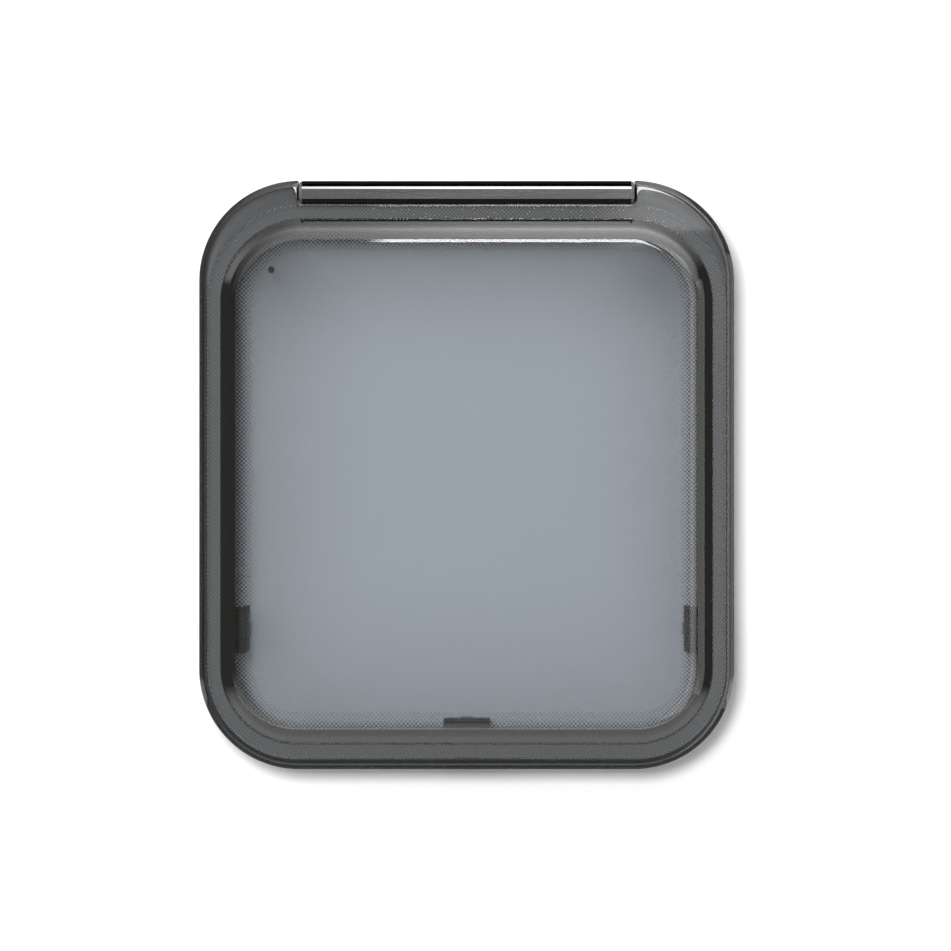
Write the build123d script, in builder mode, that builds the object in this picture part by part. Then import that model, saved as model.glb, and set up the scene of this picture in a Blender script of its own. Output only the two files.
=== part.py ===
from build123d import *

import os
from math import cos, radians, sin, tan

# Top-hung caravan window: two formed acrylic panes, an aluminium hinge and three latches.
# Millimetres. X runs along the hinge, Z is up and the outside of the vehicle is towards -Y.
# The wall's outer face is Y = 0, and a depth is a distance outside it.
# The origin is on the back of the hinge rail, level with the hinge axis.

# Outline of the outer pane
pane_width = 500.0
pane_height = 550.0
pane_corner_radius = 93.5
pane_top = 10.5

# Section of the outer pane, from the rim's rear edge to the raised field
rim_rear_depth = 5.0
flange_depth = 17.0
field_rise = 13.0
outer_wall = 3.5
rim_radius = 7.5
slope_angle = 45.0
foot_radius = 1.2
shoulder_radius = 20.0

# Foot of the slope round the raised field
foot_margin_side = 21.0
foot_margin_top = 36.5
foot_margin_bottom = 24.5
foot_radius_top = 77.0
foot_radius_bottom = 71.0

# Notch in the top edge for the hinge
notch_depth = 22.0
notch_gap = 0.4
notch_corner_radius = 5.0
notch_flare = 3.0
notch_edge_radius = 2.0

# Inner pane: a tray behind the outer pane
seam_thickness = 2.0
inner_wall = 3.0
inner_flange_width = 13.0
tray_margin = 1.0
tray_drop = 16.5
tray_draft = 8.0
tray_edge_radius = 5.0

# Adhesive seam between the two flanges
seam_outer = 12.0
seam_inner = 2.0
seam_end_gap = 0.2

# Vent plug in the inner pane
plug_from_side = 66.6
plug_below_top = 82.4
plug_head_radius = 3.1
plug_head_thickness = 1.2
plug_stem_radius = 1.9
plug_stem_excess = 1.5
plug_head_chamfer = 0.5
plug_clearance = 0.1

# Hinge: the wall rail's bead and the sash profile's socket
hinge_length = 307.0
hinge_axis_depth = 13.0
bead_radius = 3.2
bead_clearance = 0.3
socket_wall = 2.8
nose_crease_angle = 18.0
nose_flat_tilt = 6.0
skirt_drop = 7.3
skirt_clearance = 0.2
mouth_low_angle = -24.0
mouth_high_angle = 100.0
rail_height = 20.0
rail_plate = 2.5
rail_arm = 2.2
rail_lip = 1.7
rail_lip_reach = 9.0
screw_hole_radius = 2.2
screw_hole_drop = 5.2
screw_spacings = (270.0, 90.0)

# Rubber strips and end caps of the hinge
rail_seal_reach = 8.5
rail_seal_height = 2.7
rail_seal_gap = 0.4
gap_seal_thickness = 2.8
gap_seal_gap = 0.3
seal_edge_radius = 0.8
cap_thickness = 2.8

# Latches on the inner pane, in their own axes: outwards, along the edge, towards the room
latch_above_bottom = 129.5
latch_inset_side = 16.0
latch_inset_bottom = 13.0
base_depth = 14.0
base_length = 44.0
base_thickness = 4.0
base_radius = 3.0
pin_height = 11.0
pin_radius = 2.0
pin_clearance = 0.05
pin_excess = 0.5
lug_radius = 5.0
lug_thickness = 5.0
hub_width = 24.4
hub_clearance = 0.2
hub_radius = 4.8
wall_thickness = 30.0
nose_clearance = 0.5
nose_reach = 31.0
nose_thickness = 5.5
nose_tip_radius = 2.5
stem_inner = 6.5
stem_top = 43.0
stem_fillet = 4.0
paddle_length = 44.0
paddle_height = 18.0
paddle_thickness = 5.0
paddle_radius = 6.0
button_length = 12.0
button_height = 9.0
button_radius = 2.5
button_pocket = 2.0
button_proud = 1.5
button_clearance = 0.3
groove_length = 11.0
groove_width = 1.4
groove_depth = 0.8
groove_spacing = 3.2

# Places worked out from the sizes above
pane_bottom = pane_top - pane_height
foot_half = pane_width / 2 - foot_margin_side
foot_top = pane_top - foot_margin_top
foot_bottom = pane_bottom + foot_margin_bottom
flange_rear_depth = flange_depth - outer_wall
inner_flange_depth = flange_rear_depth - seam_thickness
tray_depth = inner_flange_depth - inner_wall - tray_drop
notch_width = hinge_length + 2 * (cap_thickness + notch_gap)
notch_floor = pane_top - notch_depth
socket_radius = bead_radius + bead_clearance
nose_radius = socket_radius + socket_wall
leg_bottom = foot_top + seam_inner
plug_place = (plug_from_side - pane_width / 2, pane_top - plug_below_top)
slope = radians(slope_angle)


def rounded_field(depth, half_width, top, bottom, radius_top, radius_bottom):
    """Rounded rectangle on the plane that lies a depth outside the wall."""
    with BuildSketch(Plane.XZ.offset(depth)) as outline:
        with Locations((0, (top + bottom) / 2)):
            Rectangle(2 * half_width, top - bottom)
        fillet(outline.vertices().group_by(Axis.Y)[-1], radius_top)
        fillet(outline.vertices().group_by(Axis.Y)[0], radius_bottom)
    return outline.sketch


def foot_field(depth, growth):
    """The slope's foot line, grown outwards, on the plane that lies a depth outside the wall."""
    return rounded_field(
        depth,
        foot_half + growth,
        foot_top + growth,
        foot_bottom - growth,
        foot_radius_top + growth,
        foot_radius_bottom + growth,
    )


def notched_block(front):
    """A block as wide as the pane, with the hinge's notch in its top edge and a rounded edge round it."""
    with BuildPart() as block:
        with BuildSketch(Plane.XZ) as slot:
            with Locations((0, pane_top)):
                Rectangle(pane_width, pane_height, align=(Align.CENTER, Align.MAX))
                notch_align = (Align.CENTER, Align.MAX)
                Rectangle(notch_width, notch_depth, align=notch_align, mode=Mode.SUBTRACT)
            fillet(slot.vertices().group_by(Axis.Y)[-1].sort_by(Axis.X)[1:3], notch_flare)
            fillet(slot.vertices().group_by(Axis.Y)[1], notch_corner_radius)
        extrude(amount=front)
        front_edges = block.faces().sort_by(Axis.Y)[0].edges()
        fillet(front_edges.filter_by_position(Axis.Z, notch_floor, pane_top), notch_edge_radius)
    return block.part


def outer_form(inset, trim=None):
    """The outer pane's outside as a solid, or its inside where inset is the sheet's thickness."""
    front = flange_depth - inset
    rim_line = rounded_field(
        rim_rear_depth,
        pane_width / 2 - inset,
        pane_top - inset,
        pane_bottom + inset,
        pane_corner_radius - inset,
        pane_corner_radius - inset,
    )
    foot_line = foot_field(front, -inset * tan(slope / 2))
    with BuildPart() as form:
        extrude(rim_line, amount=front - rim_rear_depth)
        fillet(form.faces().sort_by(Axis.Y)[0].edges(), rim_radius - inset)
        if trim:
            add(trim, mode=Mode.INTERSECT)
        extrude(foot_line, amount=field_rise, taper=90 - slope_angle)
        fillet(form.faces().sort_by(Axis.Y)[0].edges(), shoulder_radius - inset)
    return form.part


def tray_form(inset):
    """The inner pane's room side as a solid, or its outer side where inset is the sheet's thickness."""
    corner_shift = inset * tan(radians(90 - tray_draft) / 2)
    tray_line = foot_field(inner_flange_depth - inner_wall + inset, -tray_margin - corner_shift)
    with BuildPart() as form:
        extrude(tray_line, amount=tray_drop, dir=(0, 1, 0), taper=tray_draft)
        fillet(form.faces().sort_by(Axis.Y)[-1].edges(), tray_edge_radius - inset)
    return form.part


def latch_section(latch):
    """Plane across a latch: outwards is its first axis and towards the room its second."""
    return Plane(origin=latch.origin, x_dir=latch.x_dir, z_dir=-latch.y_dir)


outer_outside = outer_form(0, trim=notched_block(flange_depth))
outer_inside = outer_form(outer_wall)
tray_outside = tray_form(0)
tray_inside = tray_form(inner_wall)
inner_outline = foot_field(inner_flange_depth - inner_wall, inner_flange_width)
seam_outer_line = foot_field(inner_flange_depth, seam_outer)
seam_inner_line = foot_field(inner_flange_depth, seam_inner)

# Outer pane: one formed sheet with a rolled rim, a flange and a raised field
with BuildPart() as outer_pane:
    add(outer_outside)
    add(outer_inside, mode=Mode.SUBTRACT)
    flange = outer_pane.faces().filter_by(Axis.Y).sort_by(Axis.Y)[2]
    fillet(flange.inner_wires()[0].edges(), foot_radius)
outer_pane.part.label = "outer_pane"

# Inner pane: a flat flange bonded behind the outer one, and a tray that fills the wall's cut-out
with BuildPart() as inner_pane:
    extrude(inner_outline, amount=inner_wall)
    add(tray_outside)
    add(tray_inside, mode=Mode.SUBTRACT)
    with BuildSketch(Plane.XZ.offset(tray_depth)):
        with Locations(plug_place):
            Circle(plug_stem_radius + plug_clearance)
    extrude(amount=inner_wall, mode=Mode.SUBTRACT)
inner_pane.part.label = "inner_pane"

# Adhesive seam: a ring between the flanges that stops at the hinge profile's leg
with BuildPart() as bond_seam:
    extrude(seam_outer_line, amount=seam_thickness)
    extrude(seam_inner_line, amount=seam_thickness, mode=Mode.SUBTRACT)
    with BuildSketch(Plane.XZ.offset(inner_flange_depth)):
        with Locations((0, leg_bottom)):
            leg_slot = hinge_length + 2 * seam_end_gap
            Rectangle(leg_slot, seam_outer, align=(Align.CENTER, Align.MIN))
    extrude(amount=seam_thickness, mode=Mode.SUBTRACT)
bond_seam.part.label = "bond_seam"

# Vent plug: a rubber stem through the inner pane with a domed head on the room side
with BuildPart() as vent_plug:
    with BuildSketch(Plane.XZ.offset(tray_depth)):
        with Locations(plug_place):
            Circle(plug_head_radius)
    extrude(amount=-plug_head_thickness)
    chamfer(vent_plug.edges().sort_by(Axis.Y)[-1], plug_head_chamfer)
    with BuildSketch(Plane.XZ.offset(tray_depth)):
        with Locations(plug_place):
            Circle(plug_stem_radius)
    extrude(amount=inner_wall + plug_stem_excess)
vent_plug.part.label = "vent_plug"

# Hinge rail: a plate on the wall, a lip over the top and an arm that ends in a round bead
with BuildPart() as hinge_rail:
    with BuildSketch(Plane.YZ):
        Rectangle(rail_plate, rail_height, align=(Align.MAX, Align.CENTER))
        Rectangle(hinge_axis_depth, rail_arm, align=(Align.MAX, Align.CENTER))
        with Locations((-hinge_axis_depth, 0)):
            Circle(bead_radius)
        with Locations((0, rail_height / 2)):
            Rectangle(rail_lip_reach, rail_lip, align=(Align.MAX, Align.MAX))
    extrude(amount=hinge_length / 2, both=True)
    with BuildSketch(Plane.XZ):
        for spacing in screw_spacings:
            with Locations((-spacing / 2, -screw_hole_drop), (spacing / 2, -screw_hole_drop)):
                Circle(screw_hole_radius)
    extrude(amount=rail_plate, mode=Mode.SUBTRACT)
hinge_rail.part.label = "hinge_rail"

# Sash hinge profile: a socket that turns on the bead, a flat front that ends in a skirt over the
# gap seal, and a leg bonded between the flanges
crease_y = -nose_radius * cos(radians(nose_crease_angle))
crease_z = nose_radius * sin(radians(nose_crease_angle))
flat_lean = tan(radians(nose_flat_tilt))
skirt_front = crease_y + (crease_z + skirt_drop) * flat_lean
skirt_rear = hinge_axis_depth - flange_rear_depth - gap_seal_thickness - skirt_clearance
front_points = [
    (crease_y, crease_z),
    (-2 * nose_radius, crease_z),
    (-2 * nose_radius, -skirt_drop),
    (skirt_front, -skirt_drop),
]
skirt_points = [
    (crease_y + crease_z * flat_lean, 0),
    (skirt_front, -skirt_drop),
    (skirt_rear, -skirt_drop),
    (skirt_rear, 0),
]
mouth_reach = 2 * nose_radius
mouth_low = radians(mouth_low_angle)
mouth_high = radians(mouth_high_angle)
mouth_points = [
    (0, 0),
    (mouth_reach * cos(mouth_low), mouth_reach * sin(mouth_low)),
    (mouth_reach, mouth_reach),
    (mouth_reach * cos(mouth_high), mouth_reach * sin(mouth_high)),
]
with BuildPart() as sash_hinge_profile:
    with BuildSketch(Plane.YZ):
        with Locations((-hinge_axis_depth, 0)):
            Circle(nose_radius)
            Polygon(*front_points, align=None, mode=Mode.SUBTRACT)
            Polygon(*skirt_points, align=None)
            Polygon(*mouth_points, align=None, mode=Mode.SUBTRACT)
        with Locations((-flange_rear_depth, -socket_radius)):
            Rectangle(seam_thickness, -leg_bottom - socket_radius, align=(Align.MIN, Align.MAX))
        with Locations((-hinge_axis_depth, 0)):
            Circle(socket_radius, mode=Mode.SUBTRACT)
    extrude(amount=hinge_length / 2, both=True)
sash_hinge_profile.part.label = "sash_hinge_profile"

# Rail seal: a rubber strip on the rail's lip that covers the gap over the socket
with BuildPart() as rail_seal:
    with BuildSketch(Plane.YZ) as strip:
        with Locations((-rail_lip_reach, nose_radius + rail_seal_gap)):
            Rectangle(rail_seal_reach, rail_seal_height, align=(Align.MAX, Align.MIN))
        fillet(strip.vertices().group_by(Axis.X)[0], seal_edge_radius)
    extrude(amount=hinge_length / 2, both=True)
rail_seal.part.label = "rail_seal"

# Gap seal: a rubber strip on the leg that fills the gap between the socket and the notch
with BuildPart() as gap_seal:
    with BuildSketch(Plane.YZ) as strip:
        with Locations((-flange_rear_depth, -nose_radius - gap_seal_gap)):
            strip_height = -notch_floor - nose_radius - 2 * gap_seal_gap
            Rectangle(gap_seal_thickness, strip_height, align=(Align.MAX, Align.MAX))
        fillet(strip.vertices().group_by(Axis.X)[0], seal_edge_radius)
    extrude(amount=hinge_length / 2, both=True)
gap_seal.part.label = "gap_seal"

# End caps: plates on the rail's two ends that keep the sash from sliding off the bead
end_caps = {}
for side, direction in (("left", -1), ("right", 1)):
    with BuildPart() as end_cap:
        with BuildSketch(Plane.YZ.offset(direction * hinge_length / 2)):
            with Locations((-hinge_axis_depth, 0)):
                Circle(nose_radius)
                Polygon(*skirt_points, align=None)
            Rectangle(rail_plate, rail_height, align=(Align.MAX, Align.CENTER))
            make_hull()
        extrude(amount=direction * cap_thickness)
    end_cap.part.label = "hinge_end_cap_" + side
    end_caps[side] = end_cap

# Latches: each stands on the tray's room side, close to its edge
latch_y = -tray_depth
latch_side = foot_half - latch_inset_side
latch_z = pane_bottom + latch_above_bottom
latch_planes = {
    "left": Plane(origin=(-latch_side, latch_y, latch_z), x_dir=(-1, 0, 0), z_dir=(0, 1, 0)),
    "right": Plane(origin=(latch_side, latch_y, latch_z), x_dir=(1, 0, 0), z_dir=(0, 1, 0)),
    "bottom": Plane(
        origin=(0, latch_y, foot_bottom + latch_inset_bottom), x_dir=(0, 0, -1), z_dir=(0, 1, 0)
    ),
}
lug_inner = hub_width / 2 + hub_clearance
nose_low = wall_thickness + tray_depth + nose_clearance
nose_top = nose_low + nose_thickness
stem_outer = paddle_thickness - stem_inner
groove_first = button_length / 2 + button_clearance + groove_spacing
groove_places = [
    (way * (groove_first + step * groove_spacing), 0) for way in (-1, 1) for step in range(3)
]
latch_pieces = []
for side, latch in latch_planes.items():
    section = latch_section(latch)

    # Base: a rounded plate with two ears that carry the pin
    with BuildPart() as latch_base:
        with BuildSketch(latch):
            RectangleRounded(base_depth, base_length, base_radius)
        extrude(amount=base_thickness)
        for start in (lug_inner, -lug_inner - lug_thickness):
            with BuildSketch(section.offset(start)):
                with Locations((0, pin_height)):
                    Circle(lug_radius)
                with Locations((0, base_thickness)):
                    Rectangle(2 * lug_radius, base_thickness, align=(Align.CENTER, Align.MAX))
                make_hull()
            extrude(amount=lug_thickness)
        with BuildSketch(section):
            with Locations((0, pin_height)):
                Circle(pin_radius + pin_clearance)
        extrude(amount=base_length, both=True, mode=Mode.SUBTRACT)
    latch_base.part.label = "latch_base_" + side

    # Pin: the pivot through both ears and the handle's hub
    with BuildPart() as latch_pin:
        with BuildSketch(section):
            with Locations((0, pin_height)):
                Circle(pin_radius)
        extrude(amount=lug_inner + lug_thickness + pin_excess, both=True)
    latch_pin.part.label = "latch_pin_" + side

    # Handle: a hub on the pin, a nose that grips behind the wall and a finger paddle
    paddle = Plane(
        origin=section.from_local_coords((-stem_inner, stem_top - paddle_height / 2)),
        x_dir=latch.y_dir,
        z_dir=latch.x_dir,
    )
    with BuildPart() as latch_handle:
        with BuildSketch(section) as lever:
            with BuildLine():
                Polyline(
                    (-hub_radius, pin_height),
                    (hub_radius, pin_height),
                    (hub_radius, nose_low),
                    (nose_reach, nose_low),
                    (nose_reach, nose_top),
                    (stem_outer, nose_top),
                    (stem_outer, stem_top),
                    (-stem_inner, stem_top),
                    close=True,
                )
            make_face()
            with Locations((0, pin_height)):
                Circle(hub_radius)
            fillet(lever.vertices().group_by(Axis.X)[-1], nose_tip_radius)
            for corner in ((hub_radius, nose_low), (stem_outer, nose_top)):
                fillet(lever.vertices().sort_by_distance(corner)[0], stem_fillet)
        extrude(amount=hub_width / 2, both=True)
        with BuildSketch(paddle):
            RectangleRounded(paddle_length, paddle_height, paddle_radius)
        extrude(amount=paddle_thickness)
        with BuildSketch(paddle):
            RectangleRounded(
                button_length + 2 * button_clearance,
                button_height + 2 * button_clearance,
                button_radius + button_clearance,
            )
        extrude(amount=button_pocket, mode=Mode.SUBTRACT)
        with BuildSketch(paddle):
            with Locations(*groove_places):
                SlotOverall(groove_length, groove_width, rotation=90)
        extrude(amount=groove_depth, mode=Mode.SUBTRACT)
        with BuildSketch(section):
            with Locations((0, pin_height)):
                Circle(pin_radius + pin_clearance)
        extrude(amount=base_length, both=True, mode=Mode.SUBTRACT)
    latch_handle.part.label = "latch_handle_" + side

    # Button: the push button in the paddle's pocket
    with BuildPart() as latch_button:
        with BuildSketch(paddle.offset(button_pocket)):
            RectangleRounded(button_length, button_height, button_radius)
        extrude(amount=-button_pocket - button_proud)
    latch_button.part.label = "latch_button_" + side
    latch_pieces += [latch_base, latch_pin, latch_handle, latch_button]

os.makedirs("parts", exist_ok=True)
export_step(outer_pane.part, "parts/outer_pane.step")
export_step(inner_pane.part, "parts/inner_pane.step")
export_step(bond_seam.part, "parts/bond_seam.step")
export_step(vent_plug.part, "parts/vent_plug.step")
export_step(hinge_rail.part, "parts/hinge_rail.step")
export_step(sash_hinge_profile.part, "parts/sash_hinge_profile.step")
export_step(rail_seal.part, "parts/rail_seal.step")
export_step(gap_seal.part, "parts/gap_seal.step")
for side, end_cap in end_caps.items():
    export_step(end_cap.part, "parts/hinge_end_cap_" + side + ".step")
for piece in latch_pieces:
    export_step(piece.part, "parts/" + piece.part.label + ".step")
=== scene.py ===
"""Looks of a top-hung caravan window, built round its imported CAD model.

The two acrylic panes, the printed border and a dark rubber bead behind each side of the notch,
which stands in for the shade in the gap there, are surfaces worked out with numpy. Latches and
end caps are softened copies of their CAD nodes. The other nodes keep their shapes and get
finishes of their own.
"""

import math

import bmesh
import bpy
import numpy as np
from bpy.props import FloatProperty, FloatVectorProperty, PointerProperty
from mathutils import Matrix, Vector


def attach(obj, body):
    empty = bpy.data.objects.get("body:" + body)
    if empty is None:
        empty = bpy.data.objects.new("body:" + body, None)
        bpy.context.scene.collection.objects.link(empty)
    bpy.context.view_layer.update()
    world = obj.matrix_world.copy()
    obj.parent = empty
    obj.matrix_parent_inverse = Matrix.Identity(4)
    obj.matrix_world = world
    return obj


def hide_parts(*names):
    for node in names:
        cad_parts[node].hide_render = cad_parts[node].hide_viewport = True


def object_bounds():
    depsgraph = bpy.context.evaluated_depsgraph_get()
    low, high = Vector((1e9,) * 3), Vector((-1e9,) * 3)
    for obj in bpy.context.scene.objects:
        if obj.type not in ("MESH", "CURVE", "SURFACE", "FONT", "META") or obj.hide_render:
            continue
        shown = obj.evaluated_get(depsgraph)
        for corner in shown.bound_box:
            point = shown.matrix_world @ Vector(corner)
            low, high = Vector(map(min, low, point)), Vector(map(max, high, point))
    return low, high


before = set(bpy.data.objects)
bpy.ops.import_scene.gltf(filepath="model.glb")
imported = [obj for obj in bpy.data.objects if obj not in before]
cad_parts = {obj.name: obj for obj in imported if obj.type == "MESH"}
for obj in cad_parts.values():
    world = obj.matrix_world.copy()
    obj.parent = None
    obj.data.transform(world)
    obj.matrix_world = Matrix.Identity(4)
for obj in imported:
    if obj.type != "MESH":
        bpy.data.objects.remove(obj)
cad_low, cad_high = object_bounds()

bl_info = {
    "name": "Caravan window",
    "version": (1, 0, 0),
    "blender": (4, 5, 0),
    "location": "View3D > Sidebar > Window",
    "description": "Builds the looks of a top-hung caravan window round its CAD model",
    "category": "Object",
}

MM = 0.001
BODY = "root"

# Outline of the outer pane and of the notch for its hinge, in metres
PANE_HALF = cad_high.x
PANE_TOP = 10.5 * MM
PANE_BOTTOM = PANE_TOP - 550 * MM
PANE_CORNER = 93.5 * MM
NOTCH_HALF = 156.7 * MM
NOTCH_FLOOR = -11.5 * MM
NOTCH_FLARE = 3.0 * MM
NOTCH_FLARE_GAIN = 0.35
NOTCH_CORNER = 5.0 * MM

# Foot line of the slope round the raised field
FOOT_HALF = 229 * MM
FOOT_TOP = -26 * MM
FOOT_BOTTOM = -515 * MM
FOOT_CORNER_TOP = 77 * MM
FOOT_CORNER_BOTTOM = 71 * MM

# Section of the outer pane: places along Y, radii, lengths and angles
FIELD_Y = -30 * MM
FLANGE_Y = -17 * MM
FLANGE_REAR_Y = -13.6 * MM
RIM_REAR_Y = -5 * MM
SHEET = 3.5 * MM
RIM_RADIUS = 7.5 * MM
RIM_ROLL = 20 * MM
RIM_BEND = 1.2 * MM
RIM_SIDE = 7.4 * MM
RIM_TURN = 5 * MM
ROLL_LEAN = 8.0
RIM_LEAN = 60.0
NOTCH_ROUND = 2.4 * MM
SHOULDER = 24 * MM
FOOT_FILLET = 0.35 * MM
FOOT_FILLET_REAR = 5 * MM
FOOT_SUPPORT = 0.2 * MM
SLOPE = 45.0
HALF_SLOPE = math.tan(math.radians(SLOPE / 2))
SHOULDER_START = FIELD_Y - FLANGE_Y - SHOULDER * HALF_SLOPE
CROWN_END = 0.3 * SHOULDER_START
EDGE_ROUND = 0.7 * MM

# Swell of the sheets' polished faces
OUTER_WAVE = 0.04 * MM
INNER_WAVE = 0.05 * MM

# Rear of the notch's edge: how far its lines lie outside the notch
NOTCH_WALL = 0.9 * MM
NOTCH_WALL_ROUND = 0.1 * MM
NOTCH_REAR = 1.1 * MM
NOTCH_REAR_BEND = 0.9 * MM

# Where the flange's tint turns deep, as painted shade, outside the foot line: along the sides,
# bottom and notch
CLEAR_START = 12.6 * MM
CLEAR_START_LOW = 14.2 * MM
CLEAR_START_NOTCH = 11.8 * MM
CLEAR_START_SHADE = 0.2

# Depth of the painted shade in the tint from there to the rim, and what it loses where that strip
# is wide
CLEAR_PAINTED_SHADE = ((0.8, 0.1), (0.92, 0.17), (0.97, 0.05))
CLEAR_NARROW = 3 * MM
CLEAR_WIDE = 11 * MM
# Depth of the tint where the rim begins: partly the longer way of light through the turned-back
# sheet, partly painted shade
RIM_DEPTH = 0.95

# Rows over the field, from its middle outwards, and how deep the tint is on each: painted shade
# that darkens the field towards its edge
FIELD_STEPS = (0.1, 0.3, 0.5, 0.68, 0.82, 0.92, 0.98, 0.998)
FIELD_PAINTED_SHADE = (0.0, 0.0, 0.0, 0.02, 0.055, 0.1, 0.125, 0.13)
# Painted shade on the slope and shoulder, and more of it towards the field's upper corners
SHOULDER_PAINTED_SHADE = 0.13
CORNER_PAINTED_SHADE = 3.7
CORNER_POWER = 4

# Section of the inner pane
INNER_FRONT_Y = -11.45 * MM
INNER_REAR_Y = -8.5 * MM
INNER_GROWTH = 13 * MM
TRAY_FLOOR_Y = 5 * MM
TRAY_REAR_Y = 7.96 * MM
TRAY_MOUTH = -3.6 * MM
TRAY_FLOOR_EDGE = -5.9 * MM
TRAY_BACK_TOP = -1.0 * MM
TRAY_BACK_EDGE = -3.3 * MM
TRAY_FLOOR_BEND = 3 * MM
TRAY_MOUTH_BEND = 2 * MM
TRAY_BACK_BEND = 5 * MM

# Dark rubber bead that edges the notch behind the flange: it stands in for the shade in the gap
# there
EDGING_OFFSET = 0.95 * MM
EDGING_HALF = 1.2 * MM
EDGING_THICK = 0.9 * MM
EDGING_LEAD = 5
EDGING_POINTS = 16

# Print: depths of its film in the sheet, cover along its fade and in its solid part, and steps
FILM_FRONT = 0.08 * MM
FILM_REAR = 0.03 * MM
FADE_COVER = (-0.1, 0.5)
SOLID_COVER = 1.05
SOLID_STEP = 0.6 * MM
SOLID_DOTS = 1 * MM
FOOT_STEP = (0.4 * MM, 1.3 * MM)
EDGE_STEP = 1.6 * MM
EDGE_LOSS = 1.4
EDGE_DOTS = (4 * MM, 1.5 * MM)
EDGE_CONTRAST = 0.8
INK_DRIFT = 0.06

# How much faster the print fades out along the bottom than along the sides
BOTTOM_FADE = 0.7

# Softened copies of CAD nodes
MERGE_DISTANCE = 1e-6
FLAT_ANGLE = math.radians(0.5)
SHARP_ANGLE = math.radians(35)
BEVEL_SEGMENTS = 3

# Stage: its wall behind the window, its floor below, and the camera's place
WALL_GAP = 12 * MM
FLOOR_DROP = 0.6
CAMERA_X = 8.25 * MM
CAMERA_Z = -265 * MM
SIDE_CARD_X = 1.305
BLACK = (0, 0, 0)
WHITE = (1, 1, 1)

# Points along the right half of every loop, run by run
RUNS = {
    "bottom": 18,
    "low_arc": 32,
    "side": 20,
    "high_arc": 32,
    "flare": 9,
    "notch_side": 8,
    "notch_arc": 9,
    "floor": 36,
}
GATHER = RUNS["flare"] + RUNS["notch_side"] + RUNS["notch_arc"]
NOTCH_START = sum(RUNS[run] for run in ("bottom", "low_arc", "side", "high_arc"))
NOTCH_LEAD = 3
FOOT_ARC_END = 84.0


def line(start, end, count):
    """Evenly spaced points from start towards end, without end itself."""
    t = np.linspace(0, 1, count, endpoint=False)[:, None]
    return (1 - t) * np.array(start) + t * np.array(end)


def arc(centre, radius, start, end, count):
    """Points centre + radius (cos a, sin a), for a in degrees from start, without end itself."""
    a = np.radians(np.linspace(start, end, count, endpoint=False))
    return np.array(centre) + radius * np.stack([np.cos(a), np.sin(a)], 1)


def mirrored(half, signs=1):
    """A closed loop from its right half, whose ends lie on the middle line; signs turn the left."""
    return np.concatenate([half, half[1:-1][::-1] * signs])


def eased(t):
    """The smooth step t t (3 - 2 t), for t from 0 to 1."""
    return t * t * (3 - 2 * t)


def normals(path):
    """Unit vectors across a path in a plane, to the right of its direction."""
    along = np.gradient(path, axis=0)
    along /= np.linalg.norm(along, axis=1)[:, None]
    return np.stack([along[:, 1], -along[:, 0]], 1)


def lower_runs(half, bottom, radius, side_top):
    """The bottom run, the lower corner's arc and the side run that all loops begin with."""
    corner = (half - radius, bottom + radius)
    return [
        line((0, bottom), (half - radius, bottom), RUNS["bottom"]),
        arc(corner, radius, -90, 0, RUNS["low_arc"]),
        line((half, bottom + radius), (half, side_top), RUNS["side"]),
    ]


def rim_loop(edge, notch):
    """The pane's outline, drawn in by edge along its perimeter and by notch along the notch.

    It is a rounded rectangle whose top run turns down over a flare, goes round a fillet and
    follows the notch's floor.
    """
    half = PANE_HALF - edge
    top = PANE_TOP - edge
    radius = PANE_CORNER - edge
    side = NOTCH_HALF + notch
    floor = NOTCH_FLOOR - notch
    flare = NOTCH_FLARE + NOTCH_FLARE_GAIN * edge
    fillet = NOTCH_CORNER + notch
    centre = (half - radius, top - radius)
    end = math.degrees(math.acos((side + flare - centre[0]) / radius))
    crest = centre[1] + radius * math.sin(math.radians(end))
    runs = lower_runs(half, PANE_BOTTOM + edge, radius, centre[1])
    runs += [
        arc(centre, radius, 0, end, RUNS["high_arc"]),
        arc((side + flare, crest - flare), flare, 90, 180, RUNS["flare"]),
        line((side, crest - flare), (side, floor + fillet), RUNS["notch_side"]),
        arc((side - fillet, floor + fillet), fillet, 0, -90, RUNS["notch_arc"]),
        line((side - fillet, floor), (0, floor), RUNS["floor"]),
        np.array([(0, floor)]),
    ]
    return mirrored(np.concatenate(runs), (-1, 1))


def foot_loop(growth):
    """The slope's foot line grown outwards: a rounded rectangle, point by point with rim_loop."""
    half = FOOT_HALF + growth
    top = FOOT_TOP + growth
    high = FOOT_CORNER_TOP + growth
    low = FOOT_CORNER_BOTTOM + growth
    centre = (half - high, top - high)
    runs = lower_runs(half, FOOT_BOTTOM - growth, low, centre[1])
    runs += [
        arc(centre, high, 0, FOOT_ARC_END, RUNS["high_arc"]),
        arc(centre, high, FOOT_ARC_END, 90, GATHER),
        line((centre[0], top), (0, top), RUNS["floor"]),
        np.array([(0, top)]),
    ]
    return mirrored(np.concatenate(runs), (-1, 1))


def notch_share():
    """How far each point of a loop belongs to the notch: 0 on the perimeter, 1 in the notch."""
    ramp = eased(np.linspace(0, 1, RUNS["flare"] + NOTCH_LEAD))
    after = RUNS["notch_side"] + RUNS["notch_arc"] + RUNS["floor"] + 1
    return mirrored(np.concatenate([np.zeros(NOTCH_START - NOTCH_LEAD), ramp, np.ones(after)]))


def bottom_share():
    """How far each point of a loop belongs to the bottom: 1 on its run, 0 after the corners."""
    ramp = eased(np.linspace(1, 0, RUNS["low_arc"]))
    half = np.concatenate([np.ones(RUNS["bottom"]), ramp])
    return mirrored(np.pad(half, (0, sum(RUNS.values()) + 1 - len(half))))


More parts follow.
